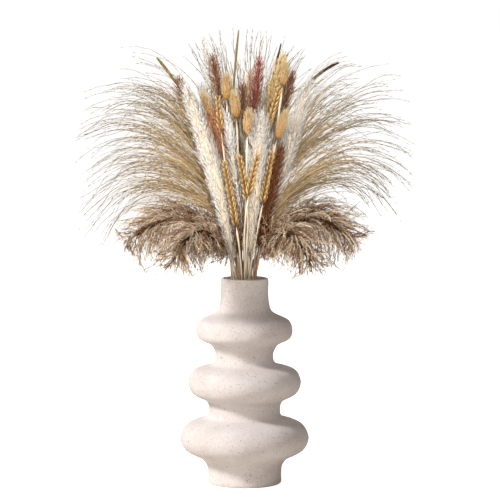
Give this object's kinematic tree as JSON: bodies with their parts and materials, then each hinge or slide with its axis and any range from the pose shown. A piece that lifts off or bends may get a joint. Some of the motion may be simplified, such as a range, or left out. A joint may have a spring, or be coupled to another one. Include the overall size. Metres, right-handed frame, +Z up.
{
  "type": "vase of pampas grass",
  "caption": "Ringed matte stoneware vase holding a tied bouquet of dried pampas, silver grass, reed plumes, bunny tails and wheat.",
  "frame": {"origin": "middle of the vase's flat foot, on the surface it stands on", "axes": "+Z up along the vase's axis, -Y towards the front of the arrangement, +X to the viewer's right"},
  "size_m": [0.3304, 0.1958, 0.472],
  "materials": {
    "stoneware": "matte",
    "jute": "matte",
    "white_pampas": "matte",
    "brown_pampas": "matte",
    "silver_grass": "matte",
    "reed_plume": "matte",
    "bunny_tail": "matte",
    "wheat_ear": "matte",
    "seed_spike": "matte"
  },
  "bodies": {
    "root": {"vase": "stoneware", "twine_tie": "jute", "white_pampas_1": "white_pampas", "white_pampas_2": "white_pampas", "white_pampas_3": "white_pampas", "white_pampas_4": "white_pampas", "white_pampas_5": "white_pampas", "white_pampas_6": "white_pampas", "white_pampas_7": "white_pampas", "white_pampas_8": "white_pampas", "brown_pampas_1": "brown_pampas", "brown_pampas_2": "brown_pampas", "brown_pampas_3": "brown_pampas", "brown_pampas_4": "brown_pampas", "brown_pampas_5": "brown_pampas", "brown_pampas_6": "brown_pampas", "brown_pampas_7": "brown_pampas", "brown_pampas_8": "brown_pampas", "silver_grass_1": "silver_grass", "silver_grass_2": "silver_grass", "silver_grass_3": "silver_grass", "silver_grass_4": "silver_grass", "silver_grass_5": "silver_grass", "silver_grass_6": "silver_grass", "silver_grass_7": "silver_grass", "silver_grass_8": "silver_grass", "silver_grass_9": "silver_grass", "silver_grass_10": "silver_grass", "silver_grass_11": "silver_grass", "silver_grass_12": "silver_grass", "silver_grass_13": "silver_grass", "silver_grass_14": "silver_grass", "reed_plume_1": "reed_plume", "reed_plume_2": "reed_plume", "reed_plume_3": "reed_plume", "reed_plume_4": "reed_plume", "reed_plume_5": "reed_plume", "reed_plume_6": "reed_plume", "reed_plume_7": "reed_plume", "reed_plume_8": "reed_plume", "reed_plume_9": "reed_plume", "reed_plume_10": "reed_plume", "bunny_tail_1": "bunny_tail", "bunny_tail_2": "bunny_tail", "bunny_tail_3": "bunny_tail", "bunny_tail_4": "bunny_tail", "bunny_tail_5": "bunny_tail", "bunny_tail_6": "bunny_tail", "bunny_tail_7": "bunny_tail", "wheat_ear_1": "wheat_ear", "wheat_ear_2": "wheat_ear", "wheat_ear_3": "wheat_ear", "wheat_ear_4": "wheat_ear", "wheat_ear_5": "wheat_ear", "wheat_ear_6": "wheat_ear", "wheat_ear_7": "wheat_ear", "seed_spike_1": "seed_spike", "seed_spike_2": "seed_spike", "seed_spike_3": "seed_spike", "seed_spike_4": "seed_spike"}
  },
  "joints": []
}
